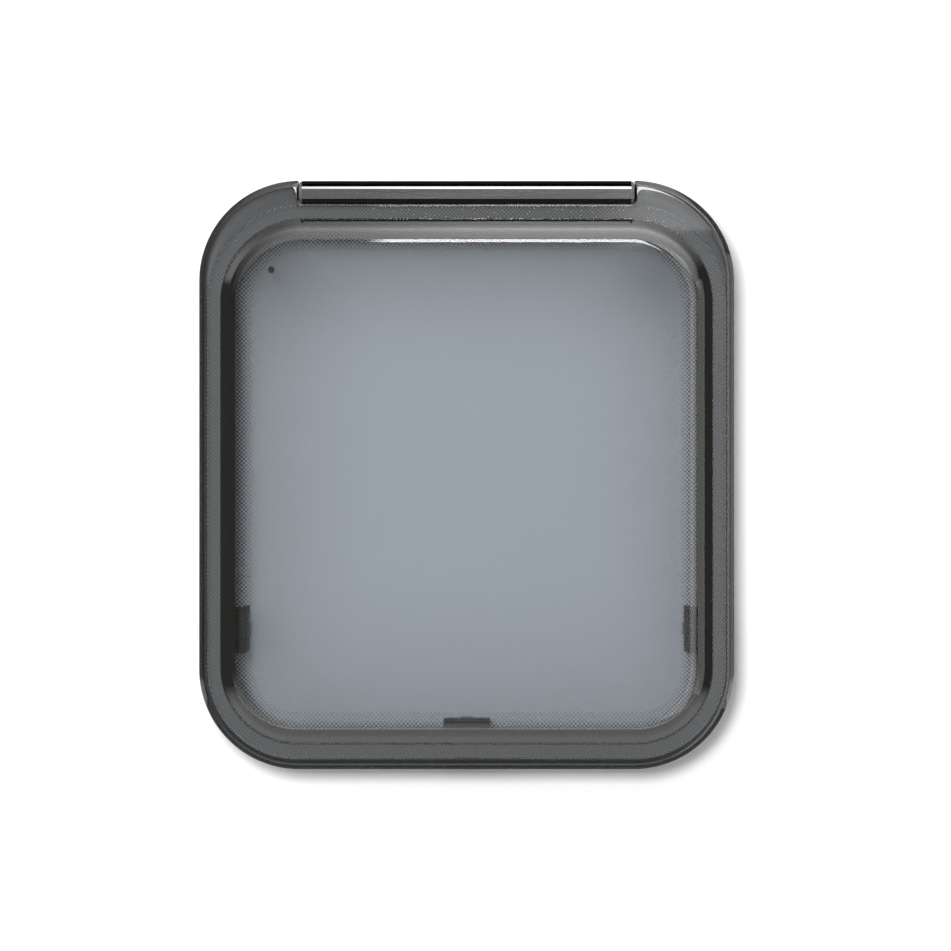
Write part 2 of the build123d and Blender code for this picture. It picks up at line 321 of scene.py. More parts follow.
def corner_shade_factor():
    """How much deeper the tint is at each point of a loop, as painted shade: 1, and more in the
    upper corners.
    """
    edge = foot_loop(0)
    low, high = edge.min(0), edge.max(0)
    u, v = ((edge - (low + high) / 2) / ((high - low) / 2)).T
    return 1 + CORNER_PAINTED_SHADE * (np.abs(u) * np.clip(v, 0, 1)) ** CORNER_POWER


def stacked(rows):
    """Loops as an array of rows by points by XYZ, from rows of XZ points, their Y and the rest."""
    return np.stack(
        [np.stack([xz[:, 0], np.zeros(len(xz)) + y, xz[:, 1]], 1) for xz, y, *_ in rows]
    )


def grid_faces(rows, columns, ring_of_rows):
    """Quads between neighbouring rows of closed loops, and for a ring from last to first."""
    last = rows if ring_of_rows else rows - 1
    r = np.arange(last)[:, None]
    c = np.arange(columns)[None, :]
    a = r * columns + c
    b = r * columns + (c + 1) % columns
    down = (r + 1) % rows * columns
    return np.stack([a, b, down + (c + 1) % columns, down + c], 2).reshape(-1, 4)


def signed_volume(points, quads, triangles):
    """Six times the volume inside the faces, positive where they point outwards."""
    split = np.concatenate([quads[:, [0, 1, 2]], quads[:, [0, 2, 3]], triangles])
    a, b, c = (points[split[:, i]] for i in range(3))
    return np.einsum("ij,ij->i", a, np.cross(b, c)).sum()


def mesh_piece(name, points, quads, triangles=None, values=None):
    """A smooth mesh object at the origin; values are named numbers for its points."""
    triangles = np.zeros((0, 3), int) if triangles is None else triangles
    if signed_volume(points, quads, triangles) < 0:
        quads, triangles = quads[:, ::-1], triangles[:, ::-1]
    mesh = bpy.data.meshes.new(name)
    mesh.from_pydata(points.tolist(), [], quads.tolist() + triangles.tolist())
    mesh.polygons.foreach_set("use_smooth", np.ones(len(mesh.polygons), bool))
    for key, numbers in (values or {}).items():
        layer = mesh.attributes.new(key, "FLOAT", "POINT")
        layer.data.foreach_set("value", np.asarray(numbers, np.float32))
    mesh.update()
    piece = bpy.data.objects.new(name, mesh)
    bpy.context.scene.collection.objects.link(piece)
    return piece


def capped_shell(name, loops, values=None):
    """A closed sheet: quads between the loops, and a fan to a pole inside the first and the last.

    values gives named numbers, one for each point of each loop.
    """
    rows, columns = loops.shape[:2]
    values = {
        key: np.concatenate([numbers.ravel(), numbers[[0, -1]].mean(1)])
        for key, numbers in (values or {}).items()
    }
    poles = loops[[0, -1]].mean(1)
    points = np.concatenate([loops.reshape(-1, 3), poles])
    c = np.arange(columns)
    after = (c + 1) % columns
    last = (rows - 1) * columns
    first_pole = rows * columns
    fans = np.concatenate(
        [
            np.stack([after, c, np.full(columns, first_pole)], 1),
            np.stack([last + c, last + after, np.full(columns, first_pole + 1)], 1),
        ]
    )
    return mesh_piece(name, points, grid_faces(rows, columns, False), fans, values)


def softened_copy(node, width):
    """A merged copy of a CAD node whose sharp edges are rounded by a Bevel modifier."""
    merged = bmesh.new()
    merged.from_mesh(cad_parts[node].data)
    bmesh.ops.remove_doubles(merged, verts=merged.verts, dist=MERGE_DISTANCE)
    bmesh.ops.dissolve_limit(
        merged, angle_limit=FLAT_ANGLE, verts=merged.verts, edges=merged.edges
    )
    mesh = bpy.data.meshes.new(node + "_softened")
    merged.to_mesh(mesh)
    merged.free()
    if "custom_normal" in mesh.attributes:
        mesh.attributes.remove(mesh.attributes["custom_normal"])
    mesh.polygons.foreach_set("use_smooth", np.ones(len(mesh.polygons), bool))
    piece = bpy.data.objects.new(node + "_softened", mesh)
    bpy.context.scene.collection.objects.link(piece)
    bevel = piece.modifiers.new("Edges", "BEVEL")
    bevel.width = width
    bevel.segments = BEVEL_SEGMENTS
    bevel.limit_method = "ANGLE"
    bevel.angle_limit = SHARP_ANGLE
    bevel.harden_normals = True
    return piece


def placed(piece, finish, slot, *nodes):
    """Gives a piece its finish and its body, and says which nodes it stands for."""
    piece.data.materials.clear()
    piece.data.materials.append(finish)
    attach(piece, BODY)
    if nodes:
        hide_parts(*nodes)


def carried_over(node, finish):
    """Gives a CAD node that stays in view its finish."""
    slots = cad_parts[node].data.materials
    slots.clear()
    slots.append(finish)


class Wire:
    """A node's output that takes part in arithmetic; each operation adds a Math node."""

    def __init__(self, tree, socket):
        self.tree = tree
        self.socket = socket

    def math(self, operation, *others, clamp=False):
        """A Math node on this wire and on further wires or numbers."""
        made = self.tree.nodes.new("ShaderNodeMath")
        made.operation = operation
        made.use_clamp = clamp
        for place, value in enumerate((self, *others)):
            if isinstance(value, Wire):
                self.tree.links.new(value.socket, made.inputs[place])
            else:
                made.inputs[place].default_value = value
        return Wire(self.tree, made.outputs[0])

    def __add__(self, other):
        return self.math("ADD", other)

    __radd__ = __add__

    def __mul__(self, other):
        return self.math("MULTIPLY", other)

    __rmul__ = __mul__

    def __sub__(self, other):
        return self.math("SUBTRACT", other)

    def __rsub__(self, other):
        return (self * -1) + other

    def maximum(self, other):
        return self.math("MAXIMUM", other)

    def cosine(self):
        return self.math("COSINE")

    def clamped(self):
        return self.math("ADD", 0.0, clamp=True)


class Nodes:
    """Adds nodes to one tree."""

    def __init__(self, tree):
        self.tree = tree
        tree.nodes.clear()

    def node(self, kind, settings=None, **sockets):
        """A node of this kind, its settings first and then the values or links of its sockets.

        A socket's keyword has underscores for its spaces, or is in_ and its number.
        """
        made = self.tree.nodes.new(kind)
        for key, value in (settings or {}).items():
            setattr(made, key, value)
        for key, value in sockets.items():
            place = int(key[3:]) if key.startswith("in_") else key.replace("_", " ")
            socket = made.inputs[place]
            if isinstance(value, Wire):
                self.tree.links.new(value.socket, socket)
            else:
                socket.default_value = value
        return made

    def wire(self, made, name=0):
        return Wire(self.tree, made.outputs[name])

    def attribute(self, name):
        """A number that the mesh gives at each of its points."""
        return self.wire(self.node("ShaderNodeAttribute", {"attribute_name": name}), "Fac")

    def spread(self, value, low, high, to_low=0.0, to_high=1.0):
        """A wire's range from low to high carried smoothly to another range."""
        made = self.node(
            "ShaderNodeMapRange",
            {"interpolation_type": "SMOOTHSTEP"},
            Value=value,
            From_Min=low,
            From_Max=high,
            To_Min=to_low,
            To_Max=to_high,
        )
        return self.wire(made)

    def place(self, scale=(1, 1, 1)):
        """Object coordinates, stretched by a scale for each axis."""
        source = self.node("ShaderNodeTexCoord")
        made = self.node("ShaderNodeMapping", Vector=self.wire(source, "Object"), Scale=scale)
        return self.wire(made)

    def noise(self, scale, detail=2.0, roughness=0.5, stretch=(1, 1, 1)):
        """Noise from 0 to 1 on Object coordinates, with scale in waves per metre."""
        made = self.node(
            "ShaderNodeTexNoise",
            Vector=self.place(stretch),
            Scale=scale,
            Detail=detail,
            Roughness=roughness,
        )
        return self.wire(made)

    def blend(self, share, first, second):
        """A colour between two plain ones."""
        colours = {"in_6": (*first, 1), "in_7": (*second, 1)}
        made = self.node("ShaderNodeMix", {"data_type": "RGBA"}, in_0=share, **colours)
        return self.wire(made, 2)

    def bump(self, height, strength, distance):
        made = self.node("ShaderNodeBump", Height=height, Strength=strength, Distance=distance)
        return self.wire(made)

    def principled(self, **sockets):
        return self.wire(self.node("ShaderNodeBsdfPrincipled", **sockets))

    def clear(self, colour=WHITE):
        """A shader that lets rays pass straight on, tinted by a colour."""
        return self.wire(self.node("ShaderNodeBsdfTransparent", Color=(*colour, 1)))

    def mix(self, share, first, second):
        """A shader between two others."""
        made = self.node("ShaderNodeMixShader", in_0=share, in_1=first, in_2=second)
        return self.wire(made)

    def output(self, shader, kind="ShaderNodeOutputMaterial"):
        self.node(kind, Surface=shader)


def finish_nodes(name):
    """A new material and the helper for its nodes."""
    finish = bpy.data.materials.new(name)
    finish.use_nodes = True
    return finish, Nodes(finish.node_tree)


def acrylic(name, tint, deep, wave):
    """Polished tinted acrylic that lets lamp light through to what is behind it.

    Where the sheet turns back at its rim the light crosses more of it, so the attribute "deep"
    The attribute "deep" carries the tint over to a darker one. At the turned-back rim that is
    partly the longer way of light through the sheet and partly painted shade; over the clear
    flange, the slope and the field's edge and upper corners it is painted shade alone.
    """
    finish, nodes = finish_nodes(name)
    dust = nodes.noise(900.0, detail=3.0)
    swell = nodes.noise(7.0, detail=1.0)
    depth = nodes.attribute("deep")
    shell = nodes.principled(
        Base_Color=nodes.blend(depth, tint, deep),
        Roughness=nodes.spread(dust, 0.35, 0.75, 0.015, 0.05),
        IOR=1.49,
        Transmission_Weight=1.0,
        Normal=nodes.bump(swell, 1.0, wave),
    )
    pale, dark = (nodes.clear([math.sqrt(c) for c in colour]) for colour in (tint, deep))
    path = nodes.node("ShaderNodeLightPath")
    lit = nodes.wire(path, "Is Shadow Ray").maximum(nodes.wire(path, "Is Diffuse Ray"))
    nodes.output(nodes.mix(lit, shell, nodes.mix(depth, pale, dark)))
    return finish


def dot_print(settings):
    """Dark screen print: dense staggered dots that shrink to nothing towards the field.

    The screen is cos(2 pi X / p) cos(2 pi Z / p). Ink covers cover + contrast * screen, where both
    follow the distance from the foot line: solid on the slope, open on the flange, dots at the
    ends.
    """
    finish, nodes = finish_nodes("dot_print")
    split = nodes.node("ShaderNodeSeparateXYZ", Vector=nodes.place())
    turn = 2 * math.pi / settings.dot_pitch
    screen = (nodes.wire(split, "X") * turn).cosine() * (nodes.wire(split, "Z") * turn).cosine()
    across = nodes.attribute("across")
    edge = settings.print_outer
    start = settings.fade_start
    solid_gain = SOLID_COVER - FADE_COVER[1]
    cover = (
        nodes.spread(across, settings.print_inner, start, *FADE_COVER)
        + nodes.spread(across, start - SOLID_STEP, start + SOLID_STEP, 0, solid_gain)
        - nodes.spread(across, *FOOT_STEP, 0, SOLID_COVER - settings.flange_cover)
        - nodes.spread(across, edge - EDGE_STEP, edge, 0, EDGE_LOSS)
    )
    contrast = (
        nodes.spread(across, start - SOLID_DOTS, start + SOLID_DOTS, settings.fade_contrast, 0)
        + nodes.spread(across, edge - EDGE_DOTS[0], edge - EDGE_DOTS[1], 0, EDGE_CONTRAST)
        + nodes.spread(across, *FOOT_STEP, 0, settings.flange_contrast)
    )
    speckle = nodes.noise(1500.0)
    # Over the flange the ink turns paler: painted light for the pale seam and the light from behind
    # seen between the dots
    flange_light_share = nodes.spread(across, *FOOT_STEP, 0, 1 - INK_DRIFT)
    drift = nodes.spread(speckle, 0.3, 0.7, 0, INK_DRIFT) + flange_light_share
    film = nodes.principled(
        Base_Color=nodes.blend(drift, settings.ink, settings.flange_ink_painted_light),
        Specular_IOR_Level=0.15,
        Roughness=nodes.spread(speckle, 0.3, 0.7, 0.45, 0.65),
        Alpha=(cover + contrast * screen).clamped(),
    )
    nodes.output(film)
    return finish


def seam_painted_backlight():
    """Cured adhesive, pale and almost opaque, with faint clouding: painted light that stands in for
    the light from behind passing the clear seam.
    """
    finish, nodes = finish_nodes("seam_painted_backlight")
    cloud = nodes.noise(140.0, detail=3.0)
    seam = nodes.principled(
        Base_Color=nodes.blend(cloud, (0.68, 0.69, 0.7), (0.78, 0.79, 0.8)),
        Roughness=0.4,
        Alpha=nodes.spread(cloud, 0.3, 0.7, 0.85, 0.95),
    )
    nodes.output(seam)
    return finish


def satin_aluminium(name, colour):
    """Satin anodised aluminium with fine die lines along its length."""
    finish, nodes = finish_nodes(name)
    lines = nodes.noise(2600.0, detail=4.0, roughness=0.6, stretch=(0.004, 1, 1))
    cloud = nodes.noise(28.0, detail=3.0, stretch=(0.3, 1, 1))
    pale = [min(1.0, c * 1.12) for c in colour]
    deep = [c * 0.86 for c in colour]
    metal = nodes.principled(
        Base_Color=nodes.blend(nodes.spread(lines, 0.35, 0.65), deep, pale),
        Metallic=1.0,
        Roughness=nodes.spread(cloud, 0.3, 0.7, 0.12, 0.17),
        Normal=nodes.bump(lines, 0.12, 0.03 * MM),
    )
    nodes.output(metal)
    return finish


def extruded_rubber(name, colour):
    """Matt rubber with a faint bloom and drawn lines."""
    finish, nodes = finish_nodes(name)
    drawn = nodes.noise(1800.0, detail=3.0, stretch=(0.02, 1, 1))
    bloom = nodes.noise(45.0, detail=4.0)
    pale = [c * 2 for c in colour]
    rubber = nodes.principled(
        Base_Color=nodes.blend(nodes.spread(bloom, 0.45, 0.8), colour, pale),
        Specular_IOR_Level=0.04,
        Roughness=nodes.spread(bloom, 0.3, 0.7, 0.55, 0.75),
        Normal=nodes.bump(drawn, 0.3, 0.08 * MM),
    )
    nodes.output(rubber)
    return finish


def grained_plastic(name, colour, grain, rough):
    """Moulded plastic with a fine spark-eroded grain and a slight colour drift."""
    finish, nodes = finish_nodes(name)
    spark = nodes.node(
        "ShaderNodeTexVoronoi", {"feature": "SMOOTH_F1"}, Vector=nodes.place(), Scale=grain
    )
    cells = nodes.wire(spark, "Distance")
    drift = nodes.noise(60.0, detail=3.0)
    pale = [c * 1.5 for c in colour]
    moulding = nodes.principled(
        Base_Color=nodes.blend(nodes.spread(drift, 0.3, 0.7), colour, pale),
        Specular_IOR_Level=0.3,
        Roughness=nodes.spread(drift, 0.3, 0.7, rough - 0.06, rough + 0.06),
        Normal=nodes.bump(cells, 0.35, 0.12 * MM),
    )
    nodes.output(moulding)
    return finish


def pin_steel():
    """Plain drawn steel with marks round the pin."""
    finish, nodes = finish_nodes("drawn_steel")
    marks = nodes.noise(2200.0, detail=3.0)
    steel = nodes.principled(
        Base_Color=nodes.blend(marks, (0.45, 0.45, 0.46), (0.62, 0.62, 0.63)),
        Metallic=1.0,
        Roughness=nodes.spread(marks, 0.3, 0.7, 0.28, 0.42),
    )
    nodes.output(steel)
    return finish


def angles(start, end, count):
    """Angles in radians from one number of degrees to another."""
    return np.radians(np.linspace(start, end, count))


def front_section():
    """The outer pane's front from the shoulder's start to the flange, as pairs of growth and Y.

    A convex arc leaves the field, a straight slope follows and a concave arc meets the flange.
    """
    tangent = FOOT_FILLET * HALF_SLOPE
    a = angles(0, SLOPE, 24)
    shoulder = np.stack(
        [SHOULDER_START + SHOULDER * np.sin(a), FIELD_Y + SHOULDER * (1 - np.cos(a))], 1
    )
    b = angles(SLOPE, 0, 8)
    foot = np.stack(
        [tangent - FOOT_FILLET * np.sin(b), FLANGE_Y - FOOT_FILLET * (1 - np.cos(b))], 1
    )
    support = [(-tangent - FOOT_SUPPORT, FLANGE_Y - tangent - FOOT_SUPPORT)]
    return np.concatenate([shoulder, support, foot])


def rear_section():
    """The outer pane's rear from the flange to the shoulder's start, as pairs of growth and Y."""
    start = (FOOT_FILLET_REAR - SHEET) * HALF_SLOPE
    b = angles(0, SLOPE, 14)
    foot = np.stack(
        [
            start - FOOT_FILLET_REAR * np.sin(b),
            FLANGE_REAR_Y - FOOT_FILLET_REAR * (1 - np.cos(b)),
        ],
        1,
    )
    inner = SHOULDER - SHEET
    a = angles(SLOPE, 0, 24)
    shoulder = np.stack(
        [SHOULDER_START + inner * np.sin(a), FIELD_Y + SHOULDER - inner * np.cos(a)], 1
    )
    return np.concatenate([foot, shoulder])


def rim_section():
    """The rim's front from the flange to its outer edge, as pairs of width and depth.

    A slight roll, a tight bend on to the angle of lean, a straight leaning side and a wider bend
    up to the edge.
    """

    def turned(start, radius, a):
        return start + radius * np.stack([np.sin(a) - np.sin(a[0]), np.cos(a[0]) - np.cos(a)], 1)

    roll = turned(np.zeros(2), RIM_ROLL, angles(0, ROLL_LEAN, 6))
    bend = turned(roll[-1], RIM_BEND, angles(ROLL_LEAN, RIM_LEAN, 9))[1:]
    lean = math.radians(RIM_LEAN)
    side = bend[-1] + RIM_SIDE * np.array([math.cos(lean), math.sin(lean)])
    turn = turned(side, RIM_TURN, angles(RIM_LEAN, 90, 8))
    return np.concatenate([roll, bend, turn])


def crown_fall(growth, crown):
    """How far the crowned field has fallen back at the shoulder, fading out down the slope."""
    share = np.clip((growth - SHOULDER_START) / (CROWN_END - SHOULDER_START), 0, 1)
    return crown * (1 - eased(share))


def field_rows(y, crown):
    """Loops over the field, from near its middle, which stands out by crown, to its edge, with
    painted shade deepening the tint towards the edge and upper corners.
    """
    edge = foot_loop(SHOULDER_START)
    middle = edge.mean(0)
    corners = corner_shade_factor()
    return [
        (middle + (edge - middle) * t, y + crown * t * t, deep * corners)
        for t, deep in zip(FIELD_STEPS, FIELD_PAINTED_SHADE)
    ]


def flange_rows(start, end, y, steps, depths):
    """Loops over a flange, between its line at one side and its line at the other."""
    return [(start + (end - start) * t, y, deep) for t, deep in zip(steps, depths)]


def outer_pane_rows(crown):
    """Loops of the outer pane: from the field's middle over the front, round the rim and behind.

    Each row has its XZ points, their Y and how deep the tint is, from 0 to 1: painted shade over
    the field, slope and flange, and at the rim partly the longer way of light through the sheet,
    partly painted shade.
    """
    share = notch_share()
    # Painted shade on the slope, deeper towards the upper corners
    shoulder = SHOULDER_PAINTED_SHADE * corner_shade_factor()

    def mixed(perimeter, notch):
        return perimeter * (1 - share) + notch * share

    rows = field_rows(FIELD_Y, crown)
    section = front_section()
    rows += [(foot_loop(g), y + crown_fall(g, crown), shoulder) for g, y in section]

    rim = rim_section()
    rim_width, rim_depth = rim[-1]
    rim_line = rim_loop(rim_width, NOTCH_ROUND)
    edge_line = rim_loop(0, 0)
    foot_line = foot_loop(section[-1][0])
    print_line = foot_loop(CLEAR_START)
    lower = (foot_loop(CLEAR_START_LOW) - print_line) * bottom_share()[:, None]
    print_line += lower + (foot_loop(CLEAR_START_NOTCH) - print_line) * share[:, None]
    width = np.linalg.norm(rim_line - print_line, axis=1)
    wide = np.clip((width - CLEAR_NARROW) / (CLEAR_WIDE - CLEAR_NARROW), 0, 1)
    # Painted shade over the clear flange, less where the clear strip is wide
    clear_shade = [depth - loss * wide for depth, loss in CLEAR_PAINTED_SHADE]
    print_edge_shade = [0, 0, 0, CLEAR_START_SHADE]
    rows += flange_rows(foot_line, print_line, FLANGE_Y, (0.01, 0.3, 0.7, 1.0), print_edge_shade)
    rows += flange_rows(print_line, rim_line, FLANGE_Y, (0.08, 0.5, 0.98), clear_shade)
    rows += [
        (
            rim_line + (edge_line - rim_line) * mixed(w / rim_width, math.sin(c))[:, None],
            FLANGE_Y + mixed(d, NOTCH_ROUND * (1 - math.cos(c))),
            min(1.0, RIM_DEPTH + c),
        )
        for (w, d), c in zip(rim, angles(0, 90, len(rim)))
    ]

    rear = mixed(RIM_REAR_Y, FLANGE_REAR_Y)
    front = FLANGE_Y + mixed(rim_depth, NOTCH_ROUND)
    rows += [(edge_line, front + (rear - EDGE_ROUND - front) * t, 1.0) for t in (0.5, 1.0)]
    rows += [
        (
            rim_loop(EDGE_ROUND * (1 - math.cos(c)), 0.5 * EDGE_ROUND * (1 - math.cos(c))),
            rear - EDGE_ROUND * (1 - math.sin(c)),
            1.0,
        )
        for c in angles(30, 90, 3)
    ]
    wall = SHEET - EDGE_ROUND
    rows += [(rim_loop(wall, NOTCH_WALL), rear, 1.0)]
    rows += [
        (
            rim_loop(
                wall + EDGE_ROUND * math.sin(c), NOTCH_WALL + NOTCH_WALL_ROUND * math.sin(c)
            ),
            rear - mixed(EDGE_ROUND * (1 - math.cos(c)), 0),
            1.0,
        )
        for c in angles(30, 90, 3)
    ]
    bend = RIM_RADIUS - SHEET
    rows += [
        (
            rim_loop(
                SHEET + bend * (1 - math.cos(c)),
                NOTCH_REAR + NOTCH_REAR_BEND * (1 - math.cos(c)),
            ),
            mixed(FLANGE_REAR_Y + bend * (1 - math.sin(c)), FLANGE_REAR_Y),
            1.0,
        )
        for c in angles(0, 90, 7)
    ]
    behind = rear_section()
    rear_line = rim_loop(RIM_RADIUS, NOTCH_REAR + NOTCH_REAR_BEND)
    foot_rear = foot_loop(behind[0][0])
    steps = (0.1, 0.5, 0.92)
    rows += flange_rows(rear_line, print_line, FLANGE_REAR_Y, steps, clear_shade[::-1])
    steps = (0.0, 0.3, 0.7, 0.99)
    rows += flange_rows(print_line, foot_rear, FLANGE_REAR_Y, steps, print_edge_shade[::-1])
    rows += [(foot_loop(g), y + crown_fall(g, crown), shoulder) for g, y in behind]
    rows += field_rows(FIELD_Y + SHEET, crown)[::-1]
    return rows


def inner_pane_loops():
    """Loops of the inner pane: over the tray's hollow side, out along the flange and behind.

    A bend's loops grow by growth + across (1 - sin c) at y + back (1 - cos c), for angles c.
    """

    def flat(growth, steps, y):
        edge = foot_loop(growth)
        middle = edge.mean(0)
        return [(middle + (edge - middle) * t, y) for t in steps]

    def bend(growth, y, across, back, turn):
        return [
            (foot_loop(growth + across * (1 - math.sin(c))), y + back * (1 - math.cos(c)))
            for c in turn
        ]

    floor, mouth, behind = -TRAY_FLOOR_BEND, TRAY_MOUTH_BEND, -TRAY_BACK_BEND
    half = (INNER_REAR_Y - INNER_FRONT_Y) / 2
    rows = flat(TRAY_FLOOR_EDGE + floor, (0.1, 0.4, 0.7, 0.9, 1.0), TRAY_FLOOR_Y)
    rows += bend(TRAY_FLOOR_EDGE, TRAY_FLOOR_Y, floor, floor, angles(15, 82, 6))
    rows += bend(TRAY_MOUTH, INNER_FRONT_Y, mouth, mouth, angles(80, 0, 6))
    rows += bend(INNER_GROWTH, INNER_FRONT_Y, -half, half, angles(0, 180, 9))
    rows += bend(TRAY_BACK_TOP, INNER_REAR_Y, mouth, mouth, angles(0, 80, 6))
    rows += bend(TRAY_BACK_EDGE, TRAY_REAR_Y, behind, behind, angles(82, 0, 8))
    rows += flat(TRAY_BACK_EDGE + behind, (0.9, 0.7, 0.4, 0.1), TRAY_REAR_Y)
    return stacked(rows)


def printed_border_rows(settings):
    """The print's film from the flange to the field, a hair inside the outer pane's rear."""
    behind = rear_section()
    outer, inner = settings.print_outer, settings.print_inner
    flange = [(g, FLANGE_REAR_Y) for g in np.linspace(outer, behind[0][0] + 1 * MM, 8)]
    field = [
        (g, FIELD_Y + SHEET) for g in np.linspace(SHOULDER_START - 0.5 * MM, inner, 4)
    ]
    section = np.concatenate([flange, behind, field])
    rearwards = normals(section)
    front = section - rearwards * FILM_FRONT
    rear = section - rearwards * FILM_REAR
    ring = np.concatenate([front, rear[::-1]])
    crown = settings.crown
    return ring, stacked([(foot_loop(g), y + crown_fall(g, crown)) for g, y in ring])


def notch_shade_bead_loops(side):
    """Loops of a dark bead that stands in for the shade in the notch's gap: ellipses carried along
    one side of the notch, behind the flange.
    """
    last = NOTCH_START + RUNS["flare"] + RUNS["notch_side"] + RUNS["notch_arc"] // 2
    path = rim_loop(0, EDGING_OFFSET)[NOTCH_START + EDGING_LEAD : last] * (side, 1)
    a = np.radians(np.linspace(0, 360, EDGING_POINTS, endpoint=False))
    xz = path[:, None] + normals(path)[:, None] * EDGING_HALF * np.cos(a)[None, :, None]
    y = FLANGE_REAR_Y + EDGING_THICK * (1 + np.sin(a)) + np.zeros(len(path))[:, None]
    return np.stack([xz[..., 0], y, xz[..., 1]], 2)


def colour_setting(name, description, default):
    return FloatVectorProperty(
        name=name, description=description, default=default, subtype="COLOR"
    )


def number_setting(name, description, default, unit="NONE"):
    return FloatProperty(name=name, description=description, default=default, unit=unit)


class WindowPaneSettings(bpy.types.PropertyGroup):
    """Sizes and colours of the acrylic panes and their print."""

    crown: number_setting(
        "Crown", "How far the raised field's middle stands out from its edge", 0.5 * MM, "LENGTH"
    )
    outer_tint: colour_setting(
        "Outer tint", "Share of light that the outer sheet passes", (0.535, 0.561, 0.586)
    )
    # The rim tint is also the colour that the painted shade over the field, slope and flange blends
    # towards
    rim_and_shade_tint: colour_setting(
        "Rim tint", "Share of light that the turned-back rim passes", (0.03, 0.03, 0.03)
    )
    inner_tint: colour_setting(
        "Inner tint", "Share of light that the inner sheet passes", (0.92, 0.93, 0.94)
    )
    plug: colour_setting(
        "Vent plug", "Colour of the rubber plug in the inner sheet", (0.04, 0.043, 0.055)
    )
    ink: colour_setting(
        "Ink", "Colour of the solid print and of its dots", (0.016, 0.0145, 0.012)
    )
    # Paler ink over the flange is painted light, standing in for the pale seam and the light from
    # behind seen between the dots
    flange_ink_painted_light: colour_setting(
        "Flange ink",
        "Colour of the print where the pale seam shows through it",
        (0.155, 0.158, 0.158),
    )
    dot_pitch: number_setting(
        "Dot pitch", "Distance between dots in a row of the print", 3.9 * MM, "LENGTH"
    )
    flange_cover: number_setting(
        "Flange cover", "Mean share of the flange that the ink covers", 0.82
    )
    flange_contrast: number_setting(
        "Flange contrast", "How strongly single dots show on the flange", 0.25
    )
    fade_contrast: number_setting(
        "Fade contrast", "How strongly single dots show where the print fades out", 0.32
    )
    print_outer: number_setting(
        "Print outside the foot",
        "Distance that the print reaches over the flange",
        14.1 * MM,
        "LENGTH",
    )
    fade_start: number_setting(
        "Fade start",
        "Place where the dots begin to shrink, inside the foot line",
        -14.3 * MM,
        "LENGTH",
    )
    print_inner: number_setting(
        "Fade end", "Place where the dots end, inside the foot line", -30 * MM, "LENGTH"
    )


class WindowFittingSettings(bpy.types.PropertyGroup):
    """Colours and edge sizes of the hinge, seals and latches."""

    aluminium: colour_setting(
        "Aluminium", "Colour of the anodised hinge", (0.21, 0.21, 0.214)
    )
    seal: colour_setting(
        "Seals", "Colour of the hinge's rubber strips", (0.003, 0.003, 0.0034)
    )
    plastic: colour_setting(
        "Latch plastic", "Colour of the latch mouldings", (0.012, 0.012, 0.0125)
    )
    cap: colour_setting("End caps", "Colour of the hinge's end caps", (0.07, 0.07, 0.073))
    button: colour_setting("Button", "Colour of the latches' push buttons", (0.16, 0.16, 0.17))
    cap_edge: number_setting(
        "Cap edge", "Radius of the edges of the hinge's end caps", 0.4 * MM, "LENGTH"
    )
    moulded_edge: number_setting(
        "Moulded edge", "Radius of the edges of the latches' mouldings", 0.6 * MM, "LENGTH"
    )


class WindowStageSettings(bpy.types.PropertyGroup):
    """Camera distance and light levels of the studio."""

    distance: number_setting(
        "Camera distance", "From the camera to the window's flange", 3.0, "LENGTH"
    )
    view_width: number_setting(
        "View width", "Width that the camera sees at the flange", 0.886, "LENGTH"
    )
    near_power: number_setting(
        "Near light", "Power of the light beside the camera", 66.0, "POWER"
    )
    large_power: number_setting("Large light", "Power of the large soft light", 48.0, "POWER")
    rear_power: number_setting("Rear light", "Power of the soft light behind", 45.0, "POWER")
    ambient: number_setting("Ambient", "Light from all round on matt surfaces", 0.15)
    mirrored: number_setting(
        "Mirrored", "Light level of the dark studio that polished surfaces mirror", 0.18
    )


class WINDOW_OT_outer_pane(bpy.types.Operator):
    """Make the formed outer pane"""

    bl_idname = "window.outer_pane"
    bl_label = "Outer pane"

    def execute(self, context):
        settings = context.scene.window_panes
        rows = outer_pane_rows(settings.crown)
        deep = np.stack([np.zeros(len(row[0])) + row[2] for row in rows])
        piece = capped_shell("formed_outer_pane", stacked(rows), {"deep": deep})
        tints = settings.outer_tint, settings.rim_and_shade_tint
        finish = acrylic("smoked_acrylic_sheet", *tints, OUTER_WAVE)
        placed(piece, finish, "smoked_acrylic", "outer_pane")
        return {"FINISHED"}


class WINDOW_OT_printed_border(bpy.types.Operator):
    """Make the dot-printed border behind the outer pane"""

    bl_idname = "window.printed_border"
    bl_label = "Printed border"

    def execute(self, context):
        settings = context.scene.window_panes
        ring, loops = printed_border_rows(settings)
        rows, columns = loops.shape[:2]
        across = ring[:, :1] + np.zeros(columns)
        across += BOTTOM_FADE * np.minimum(across - settings.fade_start, 0) * bottom_share()
        piece = mesh_piece(
            "printed_border",
            loops.reshape(-1, 3),
            grid_faces(rows, columns, True),
            values={"across": across.ravel()},
        )
        placed(piece, dot_print(settings), "smoked_acrylic")
        return {"FINISHED"}


class WINDOW_OT_inner_pane(bpy.types.Operator):
    """Make the inner pane's tray, its seam and its vent plug"""

    bl_idname = "window.inner_pane"
    bl_label = "Inner pane"

    def execute(self, context):
        settings = context.scene.window_panes
        piece = capped_shell("inner_tray", inner_pane_loops())
        tint = settings.inner_tint
        finish = acrylic("inner_acrylic_sheet", tint, tint, INNER_WAVE)
        placed(piece, finish, "inner_acrylic", "inner_pane")
        # The seam's pale finish is painted light for the light from behind that passes it
        carried_over("bond_seam", seam_painted_backlight())
        carried_over("vent_plug", extruded_rubber("plug_rubber", settings.plug))
        return {"FINISHED"}


